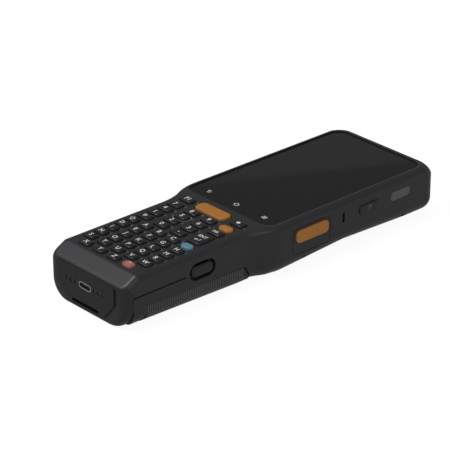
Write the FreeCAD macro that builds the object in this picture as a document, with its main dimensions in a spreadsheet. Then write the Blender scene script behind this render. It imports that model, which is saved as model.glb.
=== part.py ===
import FreeCAD, Part
import os
import re
import Sketcher

# Portable barcode data terminal with a screen, a 47-key pad and a battery in its grip.
# Modelled from the middle of the glass's lower edge: +X right, +Y to the scanner end, +Z out of the screen.
# Each finished piece is then placed so that the origin is under the terminal's middle, on its rest plane.

SIZES = {
    # How far cuts go past a face, joined solids go into each other, and round ends leave straight
    "beyond": 5.0,
    "bite": 1.0,
    "hair": 0.01,
    # Outline of the terminal seen from the front
    "head_width": 70.0,
    "grip_width": 57.2,
    "head_length": 117.5,
    "grip_length": 92.3,
    "neck_below": 19.0,
    "neck_above": 8.0,
    "head_corner": 6.5,
    # Heights above and depths below the glass
    "face_height": 0.7,
    "tail_depth": 26.4,
    "neck_depth": 26.9,
    "waist_depth": 24.0,
    "waist_place": 52.0,
    "top_depth": 25.8,
    "top_place": 97.5,
    "floor_depth": 27.6,
    "face_round": 3.0,
    "back_round": 7.0,
    "tail_round": 5.5,
    "nose_lean": 3.6,
    "nose_drop": 5.6,
    "slope_start": 83.0,
    "slope_drop": 5.0,
    # Parting of the shells and the end cap
    "grip_parting": 10.3,
    "head_parting": 16.0,
    "parting_turn": 30.0,
    "cap_length": 6.0,
    "cap_top_length": 2.7,
    "groove_width": 0.9,
    "groove_depth": 0.7,
    "groove_end": 53.0,
    # Screen
    "glass_width": 62.5,
    "glass_length": 110.9,
    "glass_corner": 5.5,
    "glass_thickness": 1.6,
    "gasket_width": 0.45,
    "gasket_sink": 0.1,
    "display_width": 58.0,
    "display_length": 99.0,
    "display_start": 9.5,
    "display_thickness": 2.4,
    "chassis_thickness": 1.0,
    "block_corner": 1.0,
    # Room for the boards
    "board_width": 57.2,
    "board_start": 6.0,
    "board_clearance": 9.1,
    "board_thickness": 1.2,
    "board_depth": 9.0,
    "board_ledge": 1.2,
    "board_corner": 3.0,
    "shield_middle": 36.8,
    "shield_wide": 26.0,
    "shield_long": 30.0,
    "shield_tall": 1.8,
    "radio_middle": 67.6,
    "radio_wide": 34.0,
    "radio_long": 16.0,
    "radio_tall": 1.4,
    "head_room_depth": 21.4,
    # Keypad
    "face_thickness": 1.8,
    "key_rise": 1.2,
    "key_gap": 0.2,
    "key_lip": 0.5,
    "key_lip_thickness": 0.8,
    "key_travel": 0.6,
    "key_round": 0.5,
    "key_draft": 6.0,
    "corner_cut": 0.6,
    "row_pitch": 6.72,
    "row_six": 44.84,
    "block_gap": 0.25,
    "letter_pitch": 10.28,
    "letter_wide": 7.4,
    "letter_tall": 5.2,
    "letter_corner": 1.5,
    "last_row_pitch": 10.7,
    "red_corner": 2.2,
    "blue_corner": 2.5,
    "orange_corner": 2.6,
    "number_pitch": 12.71,
    "number_wide": 8.8,
    "number_tall": 5.4,
    "number_corner": 1.7,
    "function_row": 9.3,
    "trigger_wide": 21.8,
    "trigger_tall": 8.3,
    "trigger_corner": 3.0,
    "mat_width": 50.4,
    "mat_start": 84.0,
    "mat_end": 3.5,
    "mat_thickness": 1.2,
    "mat_clearance": 0.2,
    "shell_ledge": 2.4,
    # Side keys of the head
    "side_key_proud": 1.0,
    "side_key_travel": 0.8,
    "side_key_gap": 0.25,
    "side_key_lip": 0.7,
    "side_key_lip_thickness": 0.8,
    "lip_play": 0.25,
    "lip_slack": 0.1,
    "side_key_depth": 9.0,
    "side_key_start": 15.2,
    "side_key_long": 22.8,
    "side_key_tall": 7.0,
    "side_key_corner": 2.8,
    "panel_start": 13.4,
    "panel_long": 26.4,
    "panel_top": 4.2,
    "panel_bottom": 18.8,
    "panel_corner": 3.5,
    "panel_thickness": 2.5,
    "small_key_depth": 8.8,
    "small_key_tall": 5.4,
    "small_key_corner": 2.6,
    "small_key_proud": 0.6,
    "small_key_thickness": 2.6,
    "power_middle": 67.8,
    "power_long": 14.6,
    "volume_middle": 70.0,
    "volume_long": 11.0,
    "volume_gap": 1.4,
    "inset_middle": 91.5,
    "inset_long": 15.0,
    "inset_thickness": 1.4,
    "inset_sink": 0.3,
    "strap_middle": 49.3,
    "strap_wide": 1.6,
    "strap_tall": 5.6,
    "strap_depth": 2.2,
    # Battery latches of the grip
    "latch_middle": 41.8,
    "latch_depth": 9.6,
    "latch_long": 13.0,
    "latch_tall": 5.0,
    "latch_well_long": 17.0,
    "latch_well_tall": 9.5,
    "latch_well_depth": 2.4,
    "latch_sink": 0.3,
    "latch_travel": 1.2,
    "latch_wall": 23.0,
    # Battery pack
    "battery_start": 80.5,
    "battery_end": 9.0,
    "battery_tail_depth": 25.9,
    "battery_neck_depth": 27.6,
    "battery_shoulder": 18.0,
    "battery_width": 56.8,
    "battery_lean": 5.0,
    "battery_flat": 8.0,
    "battery_round": 5.0,
    "battery_gap": 0.3,
    "bay_ceiling": 14.5,
    "bay_width": 49.6,
    "bay_start": 76.3,
    "bay_end": 15.7,
    "cell_width": 44.0,
    "cell_start": 73.0,
    "cell_end": 19.0,
    "cell_wall": 1.6,
    "cell_corner": 2.0,
    "strip_pitch": 4.0,
    "strip_width": 1.6,
    "strip_start": 3.0,
    "strip_length": 4.0,
    "strip_thickness": 1.0,
    # Bottom end
    "plate_width": 43.6,
    "plate_foot": 27.0,
    "plate_top": 4.5,
    "plate_waist": 14.5,
    "plate_bottom": 24.3,
    "plate_proud": 0.8,
    "plate_corner": 2.0,
    "port_depth": 12.1,
    "port_width": 9.2,
    "port_height": 3.5,
    "port_wall": 0.4,
    "port_length": 7.3,
    "tongue_width": 6.7,
    "tongue_thickness": 0.7,
    "tongue_length": 5.4,
    "tongue_root": 1.0,
    "tongue_corner": 0.2,
    "contact_start": 7.16,
    "contact_pitch": 3.24,
    "contact_radius": 0.8,
    "contact_rim": 0.25,
    "contact_sink": 0.4,
    "contact_length": 1.2,
    "slot_width": 20.3,
    "slot_height": 1.8,
    "slot_depth": 22.6,
    "slot_reach": 3.0,
    "slot_corner": 0.4,
    # Scanner end and back
    "bezel_width": 61.0,
    "bezel_top": 6.6,
    "bezel_bottom": 19.0,
    "bezel_corner": 3.0,
    "bezel_proud": 1.2,
    "window_width": 32.0,
    "window_height": 9.0,
    "window_depth": 12.6,
    "window_sink": 0.5,
    "window_thickness": 1.2,
    "window_corner": 2.0,
    "window_ledge": 1.5,
    "wall": 2.4,
    "engine_width": 21.6,
    "engine_height": 8.6,
    "engine_length": 12.0,
    "module_corner": 0.5,
    "hump_width": 40.0,
    "hump_start": 86.0,
    "hump_length": 25.0,
    "hump_corner": 9.0,
    "hump_round": 2.0,
    "camera_place": 99.0,
    "camera_radius": 5.5,
    "camera_glass": 1.2,
    "camera_sink": 0.3,
    "camera_module_width": 8.6,
    "camera_module_height": 5.0,
    "speaker_place": 62.0,
    "speaker_width": 15.0,
    "speaker_length": 11.0,
    "speaker_thickness": 3.6,
    "speaker_corner": 1.5,
    "grille_slot": 1.1,
    "grille_pitch": 2.4,
    "grille_long": 9.0,
    "screw_inset": 4.6,
    "screw_first": 22.0,
    "screw_pitch": 36.2,
    "screw_head": 1.9,
    "screw_shank": 1.0,
    "screw_head_tall": 1.6,
    "screw_length": 5.0,
    "screw_well": 2.3,
    "screw_well_depth": 21.6,
}

doc = FreeCAD.newDocument("BarcodeTerminal")
sheet = doc.addObject("Spreadsheet::Sheet", "Sizes")
for line, (alias, number) in enumerate(SIZES.items(), start=1):
    sheet.set("A%d" % line, alias)
    sheet.set("B%d" % line, str(number))
    sheet.setAlias("B%d" % line, alias)
doc.recompute()


def bound(text):
    """An expression in the sheet's aliases, as FreeCAD reads it."""
    return re.sub(r"\b[a-z]\w+", lambda word: "Sizes." + word.group(), str(text))


def value(text):
    """The present value of an expression in the sheet's aliases."""
    return float(sheet.evalExpression(bound(text)))


def bind(thing, field, text):
    """Ties one property of an object to an expression."""
    thing.setExpression(field, bound(text))


def new_body(name):
    return doc.addObject("PartDesign::Body", name)


def sketch_on(body, role, lift="0"):
    """A sketch on one of the body's origin planes, lifted along the plane's normal."""
    sketch = body.newObject("Sketcher::SketchObject", body.Name + "_sketch")
    plane = [item for item in body.Origin.OriginFeatures if item.Role == role][0]
    sketch.AttachmentSupport = [(plane, "")]
    sketch.MapMode = "FlatFace"
    bind(sketch, ".AttachmentOffset.Base.z", lift)
    return sketch


def outline(sketch, corners):
    """A closed loop of corners (x, y), or (x, y, radius, turn) where an arc starts: turn 1 left, -1 right."""
    points = [FreeCAD.Vector(value(corner[0]), value(corner[1]), 0) for corner in corners]
    first_number = sketch.ConstraintCount
    ends = []
    rules = []
    texts = []
    for index, corner in enumerate(corners):
        start = points[index]
        stop = points[(index + 1) % len(points)]
        if len(corner) == 2:
            edge = sketch.addGeometry(Part.LineSegment(start, stop))
            ends.append((edge, 1, 2))
            continue
        radius = value(corner[2])
        turn = corner[3]
        chord = stop - start
        middle = (start + stop) * 0.5
        rise = max(radius**2 - (chord.Length / 2) ** 2, 0) ** 0.5
        side = FreeCAD.Vector(-chord.y, chord.x, 0).normalize()
        centre = middle + side * rise * turn
        first, last = (start, stop) if turn > 0 else (stop, start)
        circle = Part.Circle(centre, FreeCAD.Vector(0, 0, 1), radius)
        arc = Part.ArcOfCircle(circle, circle.parameter(first), circle.parameter(last))
        edge = sketch.addGeometry(arc)
        ends.append((edge, 1, 2) if turn > 0 else (edge, 2, 1))
        rules.append(Sketcher.Constraint("Radius", edge, radius))
        texts.append(corner[2])
    for index, corner in enumerate(corners):
        edge, begin, _ = ends[index]
        before, _, finish = ends[index - 1]
        for kind, axis in (("DistanceX", 0), ("DistanceY", 1)):
            rules.append(Sketcher.Constraint(kind, -1, 1, edge, begin, points[index][axis]))
            texts.append(corner[axis])
        rules.append(Sketcher.Constraint("Coincident", before, finish, edge, begin))
        texts.append(None)
    sketch.addConstraint(rules)
    for number, text in enumerate(texts, start=first_number):
        if text is not None:
            sketch.setExpression("Constraints[%d]" % number, bound(text))


def rounded_rectangle(sketch, x, y, wide, tall, radius):
    """A rectangle with round corners about the point (x, y)."""
    right = f"({x}) + ({wide}) / 2"
    left = f"({x}) - ({wide}) / 2"
    top = f"({y}) + ({tall}) / 2"
    bottom = f"({y}) - ({tall}) / 2"
    inset = f"({radius})"
    outline(sketch, [
        (f"{left} + {inset}", bottom),
        (f"{right} - {inset}", bottom, radius, 1),
        (right, f"{bottom} + {inset}"),
        (right, f"{top} - {inset}", radius, 1),
        (f"{right} - {inset}", top),
        (f"{left} + {inset}", top, radius, 1),
        (left, f"{top} - {inset}"),
        (left, f"{bottom} + {inset}", radius, 1),
    ])


def cut_rectangle(sketch, x, y, wide, tall, cut):
    """A rectangle about the point (x, y), plain or with its corners cut off."""
    right = f"({x}) + ({wide}) / 2"
    left = f"({x}) - ({wide}) / 2"
    top = f"({y}) + ({tall}) / 2"
    bottom = f"({y}) - ({tall}) / 2"
    if cut == "0":
        outline(sketch, [(left, bottom), (right, bottom), (right, top), (left, top)])
        return
    outline(sketch, [
        (f"{left} + {cut}", bottom),
        (f"{right} - {cut}", bottom),
        (right, f"{bottom} + {cut}"),
        (right, f"{top} - {cut}"),
        (f"{right} - {cut}", top),
        (f"{left} + {cut}", top),
        (left, f"{top} - {cut}"),
        (left, f"{bottom} + {cut}"),
    ])


def pad(body, sketch, length, kind="Pad"):
    """Pads or pockets a sketch. A pad goes along the sketch's normal and a pocket against it."""
    feature = body.newObject("PartDesign::" + kind, body.Name + "_" + kind.lower())
    feature.Profile = sketch
    bind(feature, "Length", length)
    return feature


def soften(body, chosen, radius, kind="Fillet"):
    """Fillets or chamfers the edges of the body's last feature that the test picks."""
    doc.recompute()
    base = body.Tip
    names = ["Edge%d" % number for number, edge in enumerate(base.Shape.Edges, start=1) if chosen(edge)]
    feature = body.newObject("PartDesign::" + kind, body.Name + "_" + kind.lower())
    feature.Base = (base, names)
    bind(feature, "Radius" if kind == "Fillet" else "Size", radius)
    return feature


finished = {}


def finish(name, thing):
    """Keeps a finished piece under its name."""
    finished[name] = thing
    return thing


def plate(name, x, y, wide, tall, radius, low, high):
    """A flat piece with round corners, lying level between two heights."""
    body = new_body(name)
    sketch = sketch_on(body, "XY_Plane", low)
    rounded_rectangle(sketch, x, y, wide, tall, radius)
    pad(body, sketch, f"({high}) - ({low})")
    return body


def slab(name, x_low, x_high, y_low, y_high, z_low, z_high):
    """A plain box between limits, for cutting."""
    box = doc.addObject("Part::Box", name)
    for field, low, high in (("x", x_low, x_high), ("y", y_low, y_high), ("z", z_low, z_high)):
        bind(box, ".Placement.Base." + field, low)
        length = {"x": "Length", "y": "Width", "z": "Height"}[field]
        bind(box, length, f"({high}) - ({low})")
    return box


def side_profile(name, corners, half_width):
    """A piece whose outline is seen from the side, as wide to the left as to the right."""
    body = new_body(name)
    sketch = sketch_on(body, "YZ_Plane", f"-({half_width})")
    outline(sketch, corners)
    pad(body, sketch, f"2 * ({half_width})")
    return body


def side_pill(name, side, y, z, long, tall, radius, inner, outer):
    """A round-cornered block in a side wall, between two distances from the middle plane."""
    body = new_body(name)
    sketch = sketch_on(body, "YZ_Plane", inner if side > 0 else f"-({outer})")
    rounded_rectangle(sketch, y, z, long, tall, radius)
    pad(body, sketch, f"({outer}) - ({inner})")
    return body


def side_block(name, side, y, z, long, tall, inner, outer):
    """A square-cornered block in a side wall, between two distances from the middle plane."""
    low, high = (inner, outer) if side > 0 else (f"-({outer})", f"-({inner})")
    return slab(name, low, high, f"({y}) - ({long}) / 2", f"({y}) + ({long}) / 2", f"({z}) - ({tall}) / 2",
                f"({z}) + ({tall}) / 2")


def end_pill(name, x, z, wide, tall, radius, start, length):
    """A round-cornered block that runs along Y from a start plane."""
    body = new_body(name)
    sketch = sketch_on(body, "XZ_Plane", f"-({start}) - ({length})")
    rounded_rectangle(sketch, x, z, wide, tall, radius)
    pad(body, sketch, length)
    return body


def disc(name, x, y, radius, low, high):
    """A round piece standing upright between two heights."""
    cylinder = doc.addObject("Part::Cylinder", name)
    bind(cylinder, ".Placement.Base.x", x)
    bind(cylinder, ".Placement.Base.y", y)
    bind(cylinder, ".Placement.Base.z", low)
    bind(cylinder, "Radius", radius)
    bind(cylinder, "Height", f"({high}) - ({low})")
    return cylinder


def fuse(name, pieces):
    union = doc.addObject("Part::MultiFuse", name)
    union.Shapes = pieces
    return union


def common(name, base, tool):
    shared = doc.addObject("Part::Common", name)
    shared.Base = base
    shared.Tool = tool
    return shared


def cut(name, base, tool):
    result = doc.addObject("Part::Cut", name)
    result.Base = base
    result.Tool = tool
    return result


# The outer form, from which the shells and the end cap are cut
form = new_body("outer_form")
plan = sketch_on(form, "XY_Plane", "-floor_depth")
grip_half = "grip_width / 2"
head_half = "head_width / 2"
neck_half = "(grip_width + head_width) / 4"
neck_middle = "(neck_above - neck_below) / 2"
step = "(head_width - grip_width)"
neck_bend = f"((neck_above + neck_below) ^ 2 + {step} ^ 2 / 4) / (2 * {step})"
outline(plan, [
    (f"-({grip_half})", "-grip_length"),
    (grip_half, "-grip_length"),
    (grip_half, "-neck_below", neck_bend, -1),
    (neck_half, neck_middle, neck_bend, 1),
    (head_half, "neck_above"),
    (head_half, "head_length - head_corner", "head_corner", 1),
    (f"{head_half} - head_corner", "head_length"),
    (f"-({head_half} - head_corner)", "head_length", "head_corner", 1),
    (f"-({head_half})", "head_length - head_corner"),
    (f"-({head_half})", "neck_above", neck_bend, 1),
    (f"-({neck_half})", neck_middle, neck_bend, -1),
    (f"-({grip_half})", "-neck_below"),
])
pad(form, plan, "floor_depth + face_height")
side = sketch_on(form, "YZ_Plane", "head_width")
outline(side, [
    ("-grip_length - beyond", "-floor_depth - beyond"),
    ("head_length + beyond", "-floor_depth - beyond"),
    ("head_length + beyond", "-top_depth"),
    ("top_place", "-top_depth"),
    ("waist_place", "-waist_depth"),
    ("0", "-neck_depth"),
    ("-grip_length - beyond", "-tail_depth"),
])
pad(form, side, "2 * head_width", "Pocket")
slope = sketch_on(form, "YZ_Plane", "head_width")
slope_rate = "slope_drop / (grip_length - slope_start)"
outline(slope, [
    ("-grip_length - beyond", "face_height + beyond"),
    ("-grip_length - beyond", f"face_height - {slope_rate} * (grip_length + beyond - slope_start)"),
    ("-slope_start", "face_height"),
    ("-slope_start", "face_height + beyond"),
])
pad(form, slope, "2 * head_width", "Pocket")
nose = sketch_on(form, "YZ_Plane", "head_width")
outline(nose, [
    ("head_length - nose_lean", "face_height"),
    ("head_length", "face_height - nose_drop"),
    ("head_length + beyond", "face_height - nose_drop"),
    ("head_length + beyond", "face_height + beyond"),
    ("head_length - nose_lean", "face_height + beyond"),
])
pad(form, nose, "2 * head_width", "Pocket")


def is_back_rim(edge):
    """The edge round the underside, without the bends across it and the tail's own edge."""
    box = edge.BoundBox
    across = box.YLength < 0.1 and box.XLength > value("grip_width") - 1
    at_nose = box.YMax > value("head_length") - 0.1
    return box.ZMax < -value("waist_depth") + 0.1 and (at_nose or not across)


def is_tail_rim(edge):
    """The edges round the end face, but for the top one."""
    box = edge.BoundBox
    return box.YMax < 0.1 - value("grip_length") and box.ZMin < value("face_height - slope_drop") - 0.1


def is_face_rim(edge):
    """The edge round the face and its slope."""
    return edge.BoundBox.ZMin > value("face_height - slope_drop") - 0.1


soften(form, is_back_rim, "back_round")
soften(form, is_tail_rim, "tail_round")
soften(form, is_face_rim, "face_round")


# The shells part along a line that steps down from the grip to the head
cap_line = "-grip_length + cap_length"
cap_top = "-grip_length + cap_top_length"
far = "head_length + beyond"
above = "face_height + beyond"
below = "-floor_depth - beyond"
front_block = side_profile("front_block", [
    (cap_line, "-grip_parting"),
    ("-parting_turn", "-grip_parting"),
    ("0", "-head_parting"),
    (far, "-head_parting"),
    (far, above),
    (cap_top, above),
    (cap_top, "-cap_top_length"),
], "head_width")
back_block = side_profile("back_block", [
    (cap_line, below),
    (far, below),
    (far, "-head_parting"),
    ("0", "-head_parting"),
    ("-parting_turn", "-grip_parting"),
    (cap_line, "-grip_parting"),
], "head_width")
cap_block = side_profile("cap_block", [
    ("-grip_length - beyond", below),
    (cap_line, below),
    (cap_line, "-grip_parting"),
    (cap_top, "-cap_top_length"),
    (cap_top, above),
    ("-grip_length - beyond", above),
], "head_width")


# Keys. Each rises through its own window in the face and has a lip that stops it from below
face_under = "(face_height - face_thickness)"
key_low = f"({face_under} - key_lip_thickness)"
key_high = "(face_height + key_rise)"
windows = []


def keys(name, places, wide, tall, corner):
    """One key, or a row of them moulded together, and the windows that it rises through."""
    body = new_body(name)
    lip = sketch_on(body, "XY_Plane", key_low)
    cap = sketch_on(body, "XY_Plane", face_under)
    window = new_body(name + "_window")
    opening = sketch_on(window, "XY_Plane", f"{face_under} - bite")
    for x, y in places:
        cut_rectangle(lip, x, y, f"{wide} + 2 * key_lip", f"{tall} + 2 * key_lip", "0")
        rounded_rectangle(cap, x, y, wide, tall, corner)
        cut_rectangle(opening, x, y, f"{wide} + 2 * key_gap", f"{tall} + 2 * key_gap",
                      f"({corner}) * corner_cut")
    pad(body, lip, "key_lip_thickness")
    drafted = pad(body, cap, f"{key_high} - {face_under}")
    bind(drafted, "TaperAngle", "-key_draft")
    pad(window, opening, f"{above} - {face_under} + bite")
    windows.append(window)
    return finish(name, body)


def letter_row(row):
    return f"-row_six + {row - 6} * row_pitch"


def number_row(row):
    return f"-row_six + {row - 6} * row_pitch + block_gap"


def letters(name, row, columns):
    places = [(f"{column} * letter_pitch", letter_row(row)) for column in columns]
    return keys(name, places, "letter_wide", "letter_tall", "letter_corner")


letters("keys_d_to_h", 5, range(-2, 3))
letters("keys_i_to_m", 4, range(-2, 3))
letters("keys_n_to_r", 3, range(-2, 3))
letters("keys_s_to_w", 2, range(-2, 3))
letters("keys_a_to_c", 6, range(-1, 2))
letters("key_shift", 6, [-2])
last_row = [(f"{column} * last_row_pitch", letter_row(1)) for column in (-1.5, -0.5, 0.5)]
keys("keys_x_to_z", last_row, "letter_wide", "letter_tall", "letter_corner")
keys("key_red", [("1.5 * last_row_pitch", letter_row(1))], "letter_wide", "letter_tall", "red_corner")
keys("key_blue", [("2 * letter_pitch", letter_row(6))], "letter_wide", "letter_tall", "blue_corner")


def number_key(name, column, row):
    place = (f"{column} * number_pitch", number_row(row))
    return keys(name, [place], "number_wide", "number_tall", "number_corner")


for digit in range(1, 10):
    number_key("key_%d" % digit, (digit - 1) % 3 - 1.5, 8 + (digit - 1) // 3)
number_key("key_star", -1.5, 7)
number_key("key_0", -0.5, 7)
number_key("key_point", 0.5, 7)
number_key("key_word", 1.5, 9)
orange_place = ("1.5 * number_pitch", number_row(10))
keys("key_orange", [orange_place], "number_wide", "number_tall", "orange_corner")
enter_place = ("1.5 * number_pitch", "-row_six + 1.5 * row_pitch + block_gap")
keys("key_enter", [enter_place], "number_wide", "row_pitch + number_tall", "number_corner")
keys("key_program", [("-1.5 * number_pitch", "-function_row")], "number_wide", "number_tall", "number_corner")
keys("key_menu", [("1.5 * number_pitch", "-function_row")], "number_wide", "number_tall", "number_corner")
keys("key_scan", [("0", "-function_row")], "trigger_wide", "trigger_tall", "trigger_corner")


# Screen: glass in a thin gasket, with the display panel under it
glass_middle = "glass_length / 2"
recess_width = "glass_width + 2 * gasket_width"
recess_length = "glass_length + 2 * gasket_width"
recess_corner = "glass_corner + gasket_width"
display_middle = "display_start + display_length / 2"
display_under = "(-glass_thickness - display_thickness)"
glass = plate("glass", "0", glass_middle, "glass_width", "glass_length", "glass_corner", "-glass_thickness",
              "0")
finish("screen_glass", glass)
gasket_outer = plate("gasket_outer", "0", glass_middle, recess_width, recess_length, recess_corner,
                     "-glass_thickness", "-gasket_sink")
gasket_inner = plate("gasket_inner", "0", glass_middle, "glass_width", "glass_length", "glass_corner",
                     "-glass_thickness - bite", "bite")
finish("screen_gasket", cut("gasket", gasket_outer, gasket_inner))
display = plate("display", "0", display_middle, "display_width", "display_length", "block_corner",
                display_under,
                "-glass_thickness")
finish("display_panel", display)
screen_recess = plate("screen_recess", "0", glass_middle, recess_width, recess_length, recess_corner,
                      "-glass_thickness", above)
display_recess = plate("display_recess", "0", display_middle, "display_width", "display_length",
                       "block_corner",
                       display_under, "0")


# Rooms for the boards, with a ledge that each board lies against
board_long = "(head_length - wall - engine_length - board_clearance - board_start)"
board_middle = f"board_start + {board_long} / 2"
head_ceiling = f"({display_under} - chassis_thickness)"
head_room_top = plate("head_room_top", "0", board_middle, "board_width - 2 * board_ledge",
                      f"{board_long} - 2 * board_ledge", "board_corner", "-board_depth - bite", head_ceiling)
head_room_low = plate("head_room_low", "0", board_middle, "board_width", board_long, "board_corner",
                      "-head_parting - beyond", "-board_depth")
head_tray = plate("head_tray", "0", board_middle, "board_width - 2 * board_ledge",
                  f"{board_long} - 2 * board_ledge", "board_corner", "-head_room_depth",
                  "-head_parting + beyond")
mat_top = f"({key_low} - key_travel - mat_clearance)"
mat_under = f"({mat_top} - mat_thickness)"
keypad_board_under = f"({mat_under} - board_thickness)"
mat_middle = "-(mat_start + mat_end) / 2"
mat_long = "(mat_start - mat_end)"
key_room = plate("key_room", "0", mat_middle, "mat_width", mat_long, "board_corner", keypad_board_under,
                 face_under)
under_room = plate("under_room", "0", mat_middle, "mat_width - 2 * shell_ledge",
                   f"{mat_long} - 2 * shell_ledge", "board_corner", "-grip_parting",
                   f"{keypad_board_under} + bite")
finish("keypad_mat", plate("mat", "0", mat_middle, "mat_width", mat_long, "board_corner", mat_under, mat_top))
finish("keypad_board", plate("flat_board", "0", mat_middle, "mat_width", mat_long, "board_corner",
                             keypad_board_under,
                             mat_under))
board = plate("board", "0", board_middle, "board_width", board_long, "board_corner",
              "-board_depth - board_thickness", "-board_depth")
shield = plate("shield", "0", "shield_middle", "shield_wide", "shield_long", "block_corner",
               "-board_depth - board_thickness - shield_tall", "-board_depth - board_thickness")
radio = plate("radio", "0", "radio_middle", "radio_wide", "radio_long", "block_corner",
              "-board_depth - board_thickness - radio_tall", "-board_depth - board_thickness")
finish("main_board", fuse("board_with_shields", [board, shield, radio]))


# Side keys of the head, each in a window with a lip behind it
head_side = "(head_width / 2)"
panel_inner = f"({head_side} - panel_thickness)"
panel_middle = "panel_start + panel_long / 2"
panel_depth = "-(panel_top + panel_bottom) / 2"
panel_tall = "(panel_bottom - panel_top)"
side_key_middle = "side_key_start + side_key_long / 2"
front_cuts = [screen_recess, display_recess, head_room_top, head_room_low, key_room, under_room]
back_cuts = [head_tray]


def side_scan_key(word, side):
    """The big scan key in one side of the head, and the panel that frames it."""
    shape = (side, side_key_middle, "-side_key_depth")
    lip_inner = f"({panel_inner} - side_key_lip_thickness)"
    room_inner = f"({lip_inner} - side_key_travel - lip_slack)"
    lip_size = ("side_key_long + 2 * side_key_lip", "side_key_tall + 2 * side_key_lip")
    hole_size = ("side_key_long + 2 * side_key_gap", "side_key_tall + 2 * side_key_gap")
    stem = side_pill(word + "_stem", *shape, "side_key_long", "side_key_tall", "side_key_corner", lip_inner,
                     f"{head_side} + side_key_proud")
    soften(stem, lambda edge: abs(edge.BoundBox.Center.x) > value(f"{head_side} + side_key_proud") - 0.01
           and edge.BoundBox.XLength < 0.01, "key_round")
    lip = side_block(word + "_lip", *shape, *lip_size, lip_inner, panel_inner)
    finish(word + "_scan_key", fuse(word + "_key", [stem, lip]))
    block = side_pill(word + "_block", side, panel_middle, panel_depth, "panel_long", panel_tall,
                      "panel_corner", panel_inner, f"{head_side} + beyond")
    hole = side_pill(word + "_hole", *shape, *hole_size, "side_key_corner + side_key_gap",
                     f"{panel_inner} - bite", f"{head_side} + beyond")
    skin = common(word + "_skin", form, block)
    finish(word + "_key_panel", cut(word + "_panel", skin, hole))
    room = side_block(word + "_room", *shape, "side_key_long + 2 * side_key_lip + 2 * lip_play",
                      "side_key_tall + 2 * side_key_lip + 2 * lip_play", room_inner,
                      f"{panel_inner} + bite / 2")
    front_cuts.extend([block, room])
    back_cuts.append(block)


def small_side_key(name, side, middle, long):
    """A small key in a side wall of the head."""
    shape = (side, middle, "-small_key_depth")
    lip_outer = f"({head_side} + small_key_proud - small_key_thickness)"
    lip_inner = f"({lip_outer} - side_key_lip_thickness)"
    room_inner = f"({lip_inner} - side_key_travel - lip_slack)"
    stem = side_pill(name + "_stem", *shape, long, "small_key_tall", "small_key_corner", lip_inner,
                     f"{head_side} + small_key_proud")
    soften(stem, lambda edge: abs(edge.BoundBox.Center.x) > value(f"{head_side} + small_key_proud") - 0.01
           and edge.BoundBox.XLength < 0.01, "key_round")
    lip = side_block(name + "_lip", *shape, f"{long} + 2 * key_lip", "small_key_tall + 2 * key_lip",
                     lip_inner, lip_outer)
    finish(name, fuse(name + "_key", [stem, lip]))
    hole = side_pill(name + "_hole", *shape, f"{long} + 2 * key_gap", "small_key_tall + 2 * key_gap",
                     "small_key_corner + key_gap", f"{lip_outer} - bite / 2", f"{head_side} + beyond")
    room = side_block(name + "_room", *shape, f"{long} + 2 * key_lip + 2 * lip_play",
                      "small_key_tall + 2 * key_lip + 2 * lip_play", room_inner, lip_outer)
    front_cuts.extend([hole, room])


side_scan_key("right", 1)
side_scan_key("left", -1)
small_side_key("power_key", 1, "power_middle", "power_long")
small_side_key("volume_up_key", -1, "volume_middle + (volume_long + volume_gap) / 2", "volume_long")
small_side_key("volume_down_key", -1, "volume_middle - (volume_long + volume_gap) / 2", "volume_long")
inset_inner = f"({head_side} - inset_sink - inset_thickness)"
inset_shape = (1, "inset_middle", "-small_key_depth", "inset_long", "small_key_tall", "small_key_corner")
finish("side_inset", side_pill("inset", *inset_shape, inset_inner, f"{head_side} - inset_sink"))
front_cuts.append(side_pill("inset_recess", *inset_shape, inset_inner, f"{head_side} + beyond"))
front_cuts.append(side_pill("strap_slot", 1, "strap_middle", "-small_key_depth", "strap_wide", "strap_tall",
                            "strap_wide / 2 - hair", f"{head_side} - strap_depth", f"{head_side} + beyond"))


# Battery latches, one in each side of the grip
grip_side = "(grip_width / 2)"


def latch(word, side):
    """The squeeze button that frees the battery pack, in its well."""
    shape = (side, "-latch_middle", "-latch_depth")
    lip_inner = "(latch_wall - side_key_lip_thickness)"
    room_inner = f"({lip_inner} - latch_travel - lip_slack)"
    outer = f"{grip_side} - latch_sink"
    stem = side_pill(word + "_latch_stem", *shape, "latch_long", "latch_tall", "latch_tall / 2 - hair",
                     lip_inner, outer)
    soften(stem, lambda edge: abs(edge.BoundBox.Center.x) > value(outer) - 0.01
           and edge.BoundBox.XLength < 0.01, "key_round")
    lip = side_block(word + "_latch_lip", *shape, "latch_long + 2 * key_lip", "latch_tall + 2 * key_lip",
                     lip_inner, "latch_wall")
    finish(word + "_latch", fuse(word + "_latch_button", [stem, lip]))
    well = side_pill(word + "_well", *shape, "latch_well_long", "latch_well_tall",
                     "latch_well_tall / 2 - hair",
                     f"{grip_side} - latch_well_depth", f"{grip_side} + beyond")
    hole = side_pill(word + "_latch_hole", *shape, "latch_long + 2 * side_key_gap",
                     "latch_tall + 2 * side_key_gap", "latch_tall / 2", "latch_wall - bite",
                     f"{grip_side} + beyond")
    room = side_block(word + "_latch_room", *shape, "latch_long + 2 * key_lip + 2 * lip_play",
                      "latch_tall + 2 * key_lip + 2 * lip_play", room_inner, "latch_wall")
    for cuts in (front_cuts, back_cuts):
        cuts.extend([well, hole, room])


latch("right", 1)
latch("left", -1)
groove_low = "-grip_parting - groove_width / 2"
groove_high = "-grip_parting + groove_width / 2"
for word, inner, outer in (("right", f"{grip_side} - groove_depth", f"{grip_side} + beyond"),
                           ("left", f"-({grip_side}) - beyond", f"-({grip_side}) + groove_depth")):
    groove = slab(word + "_groove", inner, outer, f"{cap_line} - bite", "-groove_end", groove_low,
                  groove_high)
    front_cuts.append(groove)
    back_cuts.append(groove)


# Battery pack: a moulded case with the cell sealed in it, which drops out of the bay in the grip
half_battery = "battery_width / 2"


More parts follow.
